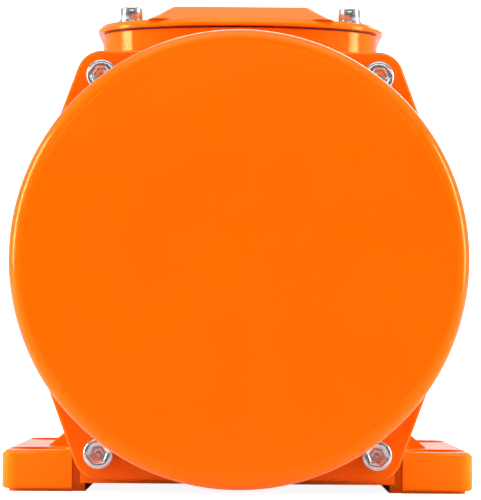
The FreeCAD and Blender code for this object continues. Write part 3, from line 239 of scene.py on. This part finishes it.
FINISHES = {
    "orange_paint": powder_coat("orange coat on casting", 0.00022, green=0.142),
    "bright_screw": bright_zinc(),
    "black_screw": metal("black oxide steel", (0.022, 0.022, 0.024), (0.05, 0.05, 0.055), 0.38),
    "cage_brass": metal("machined brass", (0.52, 0.33, 0.10), (0.68, 0.46, 0.17), 0.26, 0.0006),
    "raw_iron": metal("raw cast iron", (0.05, 0.05, 0.052), (0.10, 0.10, 0.10), 0.62, bite=0.00012),
    "bearing_steel": metal("ground bearing steel", (0.58, 0.59, 0.60), (0.68, 0.69, 0.70), 0.14),
    "weight_iron": metal("milled weight iron", (0.15, 0.15, 0.155), (0.27, 0.27, 0.28), 0.42, 0.0009),
    "shaft_steel": metal("ground shaft steel", (0.44, 0.45, 0.46), (0.58, 0.59, 0.60), 0.22),
    "spring_steel": metal("phosphated spring steel", (0.03, 0.03, 0.032), (0.07, 0.07, 0.075), 0.42),
    "dial_aluminium": metal("satin aluminium", (0.62, 0.63, 0.64), (0.76, 0.77, 0.78), 0.34, 0.0005),
    "lamination_steel": rolled_sheets("stacked lamination steel", 0.0005),
    "cast_aluminium": metal("cast aluminium", (0.42, 0.43, 0.45), (0.58, 0.59, 0.61), 0.5, bite=0.00006),
    "winding_copper": enamelled_copper(),
    "black_rubber": moulded("black rubber", (0.012, 0.012, 0.013), (0.024, 0.024, 0.026), 0.7),
    "block_plastic": moulded("terminal block plastic", (0.022, 0.021, 0.02), (0.045, 0.043, 0.04), 0.42),
    "terminal_brass": metal("plated brass", (0.56, 0.42, 0.18), (0.74, 0.60, 0.30), 0.22),
    "gland_plastic": moulded("gland polyamide", (0.016, 0.016, 0.018), (0.032, 0.032, 0.036), 0.48),
}
PRESSED_COAT = powder_coat("orange coat on pressed cover", 0.00003)
# Painted light: a lighter, yellower copy of the coat (more green) on the foot rails, for the brighter light
# on the feet; the crown is a real swell, given in relief.
LIT_FOOT_COAT = powder_coat("orange coat lightened as painted light on foot rails", 0.00018, green=0.205, crown=(0.018, 0.017))
# Painted shade: a darker copy of the coat on the bearing shields, standing in for the shade that the weight
# cover casts on the flange.
SHADED_SHIELD_COAT = powder_coat("orange coat darkened as painted shade on bearing shield", 0.00018, red=0.74, green=0.120)
# Painted light: a yellower, lighter copy of the coat on the terminal box lid, for the light that falls on
# it.
LIT_LID_COAT = powder_coat("orange coat lightened as painted light on lid", 0.00003, red=0.90, green=0.160)
# Painted shade: the lid gasket is coloured dark orange to stand for the shade in the joint under the lid
# rim.
SHADE_DARK_GASKET_RUBBER = moulded("gasket rubber darkened orange as painted shade", (0.12, 0.018, 0.001), (0.26, 0.040, 0.002), 0.55)


def dress_nodes():
    """Every solid gets the finish of its slot, but for the covers; the feet, lid and shields, whose coat
    copies are painted light and shade; and the gasket, darkened orange as painted shade.
    """
    special = dict(foot_rails=LIT_FOOT_COAT, terminal_box_lid=LIT_LID_COAT, lid_gasket=SHADE_DARK_GASKET_RUBBER)
    for end in ENDS:
        special.update({f"{end}_weight_cover": PRESSED_COAT, f"{end}_bearing_shield": SHADED_SHIELD_COAT})
    for part in frame["record"]["subparts"]:
        name, slot = part["node"], part["material_slot"]
        node = NODES[name]
        material = special.get(name, FINISHES[slot])
        if not node.material_slots:
            node.data.materials.append(None)
        for place in node.material_slots:
            place.material = material


# ----------------------------------------------------------------------------- meshes
def mesh_object(name, shape, material):
    """A finished bmesh as an object at the origin."""
    mesh = bpy.data.meshes.new(name)
    shape.to_mesh(mesh)
    shape.free()
    mesh.materials.append(material)
    made = bpy.data.objects.new(name, mesh)
    scene.collection.objects.link(made)
    return made


HEAD_BREAK = 0.0003
HEAD_ROUND = 0.0009
SOCKET_ROUND = 0.0002
DRILL_POINT = 0.0009


def hexagon_radius(across, angle):
    """Distance from the middle of a hexagon to its side at an angle."""
    sixth = math.pi / 3
    return across / 2 / math.cos(angle % sixth - sixth / 2)


def stacked_rings(rings, count=48, cap_low=True, cap_high=True):
    """A closed skin through rings of (radius or function of the angle, height), its poles closed by fans."""
    shape = bmesh.new()
    levels = []
    for radius, height in rings:
        level = []
        for n in range(count):
            angle = math.tau * n / count
            reach = radius(angle) if callable(radius) else radius
            level.append(shape.verts.new((reach * math.cos(angle), reach * math.sin(angle), height)))
        levels.append(level)
    for low, high in zip(levels, levels[1:]):
        for n in range(count):
            m = (n + 1) % count
            shape.faces.new((low[n], low[m], high[m], high[n]))
    for level, wanted, flip in ((levels[0], cap_low, True), (levels[-1], cap_high, False)):
        if wanted:
            middle = shape.verts.new((0, 0, level[0].co.z))
            for n in range(count):
                m = (n + 1) % count
                shape.faces.new((level[m], level[n], middle) if flip else (level[n], level[m], middle))
    return shape


def rounded(radius, height, edge, steps=4):
    """Rings that round an outer top edge."""
    return [(radius - edge + edge * math.cos(a), height - edge + edge * math.sin(a))
            for a in (math.pi / 2 * n / steps for n in range(steps + 1))]


def socket_screw(shank, head, height, key, deep, grip):
    """Socket head screw that stands on its seat at the origin, with hexagon socket and drilled floor."""
    floor = height - deep

    def wrench(share):
        return lambda angle: hexagon_radius(key, angle) * share

    point = [(shank * 0.82, -grip), (shank, -grip + shank * 0.18), (shank, 0)]
    skirt = [(head - HEAD_BREAK, 0), (head, HEAD_BREAK)] + rounded(head, height, HEAD_ROUND)
    mouth = [(key * 0.64, height), (wrench(1.01), height - key * 0.05), (wrench(1.0), height - key * 0.08)]
    walls = [(wrench(1.0), floor + SOCKET_ROUND), (wrench(0.96), floor)]
    drilled = [(key * 0.22, floor), (key * 0.17, floor - HEAD_BREAK), (key * 0.02, floor - DRILL_POINT)]
    return stacked_rings(point + skirt + mouth + walls + drilled)


# ----------------------------------------------------------------------------- repeated pieces
class Pattern:
    """A Geometry Nodes tree with named inputs, whose result becomes a plain mesh."""

    def __init__(self, name, **inputs):
        self.tree = bpy.data.node_groups.new(name, "GeometryNodeTree")
        face = self.tree.interface
        face.new_socket("Geometry", in_out="OUTPUT", socket_type="NodeSocketGeometry")
        face.new_socket("Seats", in_out="INPUT", socket_type="NodeSocketGeometry")
        self.keys = {}
        for label, kind in inputs.items():
            made = face.new_socket(label.replace("_", " "), in_out="INPUT", socket_type=f"NodeSocket{kind}")
            self.keys[label] = made.identifier
        self.way_in = self.tree.nodes.new("NodeGroupInput")
        self.way_out = self.tree.nodes.new("NodeGroupOutput")

    def taken(self, label):
        return self.way_in.outputs[label.replace("_", " ")]

    def node(self, kind, settings=(), **inputs):
        return add_node(self.tree, kind, settings, **inputs)

    def close(self, geometry):
        """Every tree ends in whole geometry with its material."""
        whole = self.node("GeometryNodeRealizeInstances", Geometry=geometry).outputs[0]
        dressed = self.node("GeometryNodeSetMaterial", Geometry=whole, Material=self.taken("Material"))
        self.tree.links.new(dressed.outputs[0], self.way_out.inputs[0])

    def make(self, name, carrier, **values):
        """Run the tree on a carrier object and give back the plain mesh object."""
        run = carrier.modifiers.new(name, "NODES")
        run.node_group = self.tree
        for label, value in values.items():
            run[self.keys[label]] = value
        bpy.context.view_layer.update()
        seen = carrier.evaluated_get(bpy.context.evaluated_depsgraph_get())
        mesh = bpy.data.meshes.new_from_object(seen)
        carrier.modifiers.remove(run)
        bpy.data.objects.remove(carrier)
        made = bpy.data.objects.new(name, mesh)
        scene.collection.objects.link(made)
        return made


def seating_pattern():
    """One blank on every seat, all aimed one way, each turned by chance about its own axis."""
    pattern = Pattern("blanks on seats", Blank="Object", Aim="Vector", Turn="Float", Seed="Int",
                      Material="Material")
    blank = pattern.node("GeometryNodeObjectInfo", Object=pattern.taken("Blank")).outputs["Geometry"]
    chance = pattern.node("FunctionNodeRandomValue", {"data_type": "FLOAT"}, Seed=pattern.taken("Seed"))
    pattern.tree.links.new(pattern.taken("Turn"), chance.inputs[3])
    own_turn = pattern.node("ShaderNodeCombineXYZ", Z=chance.outputs[1]).outputs[0]
    aimed = pattern.node("GeometryNodeInstanceOnPoints", Points=pattern.taken("Seats"), Instance=blank,
                         Rotation=pattern.taken("Aim")).outputs[0]
    turned = pattern.node("GeometryNodeRotateInstances", Instances=aimed, Rotation=own_turn).outputs[0]
    pattern.close(turned)
    return pattern


def seat_points(places):
    """A carrier mesh with one loose point on each seat."""
    carrier = bmesh.new()
    for place in places:
        carrier.verts.new(place)
    mesh = bpy.data.meshes.new("seats")
    carrier.to_mesh(mesh)
    carrier.free()
    holder = bpy.data.objects.new("seats", mesh)
    scene.collection.objects.link(holder)
    return holder


AIMS = {"front": (math.pi / 2, 0, 0), "rear": (-math.pi / 2, 0, 0), "up": (0, 0, 0)}
M8 = dict(shank=0.004, head=0.0065, height=0.008, key=0.006, deep=0.0044)
M6 = dict(shank=0.003, head=0.005, height=0.006, key=0.005, deep=0.0033)
SHIELD_SEED = 5
LID_SEED = 11


def screws(pattern, node, aim, seats, size, slot, seed):
    """A set of screws in place of the plain ones of a node."""
    blank = mesh_object("screw blank", socket_screw(**size), FINISHES[slot])
    for face in blank.data.polygons:
        face.use_smooth = True
    made = pattern.make(f"{node}_finished", seat_points(seats), Blank=blank, Aim=AIMS[aim], Turn=math.tau,
                        Seed=seed, Material=FINISHES[slot])
    bpy.data.objects.remove(blank)
    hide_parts(node)
    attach(made, "motor_frame")


def all_screws():
    """The cover, shield and lid screws; their places and lengths are read from the solids' boxes."""
    pattern = seating_pattern()
    for seed, (end, sign) in enumerate(ENDS.items()):
        low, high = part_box(f"{end}_cover_screws")
        tip = low.y if sign < 0 else high.y
        seats = [(x, tip - sign * M8["height"], z) for x in (low.x + M8["head"], high.x - M8["head"])
                 for z in (low.z + M8["head"], high.z - M8["head"])]
        size = dict(M8, grip=high.y - low.y - M8["height"])
        screws(pattern, f"{end}_cover_screws", end, seats, size, "bright_screw", seed)
        low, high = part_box(f"{end}_shield_screws")
        tip = low.y if sign < 0 else high.y
        reach = high.x - M6["head"]
        seats = [(math.cos(a) * reach, tip - sign * M6["height"], SHAFT_HEIGHT + math.sin(a) * reach)
                 for a in (0, math.pi / 2, math.pi, 3 * math.pi / 2)]
        size = dict(M6, grip=high.y - low.y - M6["height"])
        screws(pattern, f"{end}_shield_screws", end, seats, size, "black_screw", seed + SHIELD_SEED)
    low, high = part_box("lid_screws")
    seats = [(x, y, high.z - M6["height"]) for x in (low.x + M6["head"], high.x - M6["head"])
             for y in (low.y + M6["head"], high.y - M6["head"])]
    size = dict(M6, grip=high.z - low.z - M6["height"])
    screws(pattern, "lid_screws", "up", seats, size, "bright_screw", LID_SEED)


# ----------------------------------------------------------------------------- studio
def camera():
    """A long lens on the front cover, a little below the shaft line, tipped up by a hair."""
    eye = bpy.data.cameras.new("eye")
    eye.lens = 197.4
    eye.sensor_width = 36
    eye.clip_start, eye.clip_end = 0.05, 20
    holder = bpy.data.objects.new("eye", eye)
    scene.collection.objects.link(holder)
    holder.location = (-0.0011, -1.282, 0.0643)
    turn, lift, roll = (math.radians(angle) for angle in (-0.085, 91.99, 0.405))
    holder.rotation_euler = (Matrix.Rotation(turn, 3, "Z") @ Matrix.Rotation(lift, 3, "X")
                             @ Matrix.Rotation(roll, 3, "Z")).to_euler()
    scene.camera = holder


def lamp(name, place, aim, size, watts):
    """A rectangular soft box that faces its aim."""
    light = bpy.data.lights.new(name, "AREA")
    light.shape = "RECTANGLE"
    light.size, light.size_y = size
    light.energy = watts
    holder = bpy.data.objects.new(name, light)
    holder.location = place
    holder.rotation_mode = "QUATERNION"
    holder.rotation_quaternion = (Vector(aim) - Vector(place)).to_track_quat("-Z", "Y")
    scene.collection.objects.link(holder)


def lamps():
    """Strong soft boxes at both sides, weaker ones above and behind, and a thin strip in front."""
    lamp("left soft box", (-1.5, -0.38, 0.55), (0, -0.12, 0.1), (0.4, 1.0), 22)
    lamp("right soft box", (1.55, -0.33, 0.5), (0, -0.12, 0.1), (0.4, 1.0), 19.5)
    lamp("overhead soft box", (0, -0.35, 1.4), (0, 0, 0.1), (1.4, 1.0), 6)
    lamp("front strip", (0, -2.3, 0.6), (0, -0.2, 0.05), (1.8, 0.2), 2.6)
    lamp("rear soft box", (0.3, 1.7, 0.9), (0, 0.1, 0.1), (1.2, 0.9), 9)


def room():
    """White room that darkens towards the camera, so that the front cover mirrors nothing."""
    world = bpy.data.worlds.new("white studio")
    scene.world = world
    world.use_nodes = True
    tree = world.node_tree
    tree.nodes.clear()
    ray = add_node(tree, "ShaderNodeLightPath").outputs
    heading = add_node(tree, "ShaderNodeTexCoord").outputs["Generated"]
    back_to_front = add_node(tree, "ShaderNodeSeparateXYZ", _0=heading).outputs["Y"]
    walls = add_node(tree, "ShaderNodeMapRange", {"interpolation_type": "SMOOTHSTEP"}, Value=back_to_front,
                     From_Min=-0.95, From_Max=-0.45, To_Min=0.02, To_Max=0.9).outputs["Result"]
    seen = arithmetic(tree, "MAXIMUM", ray["Is Camera Ray"], ray["Is Transmission Ray"])
    unseen = arithmetic(tree, "SUBTRACT", 1.0, seen)
    wall_share = arithmetic(tree, "MULTIPLY_ADD", ray["Is Glossy Ray"], -MIRROR_LOSS, 1.0)
    fill = arithmetic(tree, "MULTIPLY_ADD", ray["Is Glossy Ray"], -FRONT_FILL, FRONT_FILL)
    light = arithmetic(tree, "MULTIPLY_ADD", walls, wall_share, fill)
    strength = arithmetic(tree, "ADD", seen, arithmetic(tree, "MULTIPLY", light, unseen))
    back = add_node(tree, "ShaderNodeBackground", Color=(1, 1, 1, 1), Strength=strength).outputs[0]
    add_node(tree, "ShaderNodeOutputWorld", Surface=back)


def pale_floor():
    """Matt white that glows to the eye, and is dark in front of the object to whatever mirrors it."""
    pale = Finish("pale floor", FLOOR_WHITE, 0.9)
    pale.relief((pale.grain(40, 2), 0.00002))
    ray = pale.node("ShaderNodeLightPath").outputs
    across = pale.node("ShaderNodeSeparateXYZ", _0=pale.place).outputs["Y"]
    front = pale.spread(across, 1.0, 0.0, (-0.65, -0.15))
    mirrored = pale.arithmetic("MULTIPLY", front, ray["Is Glossy Ray"])
    pale.tint(mirrored, FLOOR_WHITE, (0.01, 0.01, 0.01), (0.0, 1.0))
    lit = pale.arithmetic("MULTIPLY", ray["Is Camera Ray"], FLOOR_GLOW)
    pale.tree.links.new(lit, pale.skin.inputs["Emission Strength"])
    pale.skin.inputs["Emission Color"].default_value = (1, 1, 1, 1)
    return pale.material


def floor():
    """A sheet that lies flat under the object and sweeps up behind it."""
    sheet = bmesh.new()
    sweep = [math.pi / 2 * n / SWEEP_STEPS for n in range(SWEEP_STEPS + 1)]
    rows = [(FLOOR_FRONT, 0)]
    rows += [(FLOOR_BACK + SWEEP * math.sin(angle), SWEEP * (1 - math.cos(angle))) for angle in sweep]
    rows += [(FLOOR_BACK + SWEEP, WALL_HEIGHT)]
    lines = [[sheet.verts.new((x, y, z)) for x in (-FLOOR_HALF_WIDTH, FLOOR_HALF_WIDTH)] for y, z in rows]
    for low, high in zip(lines, lines[1:]):
        sheet.faces.new((low[0], low[1], high[1], high[0]))
    mesh_object("studio_floor", sheet, pale_floor())


dress_nodes()
all_screws()
camera()
lamps()
room()
floor()
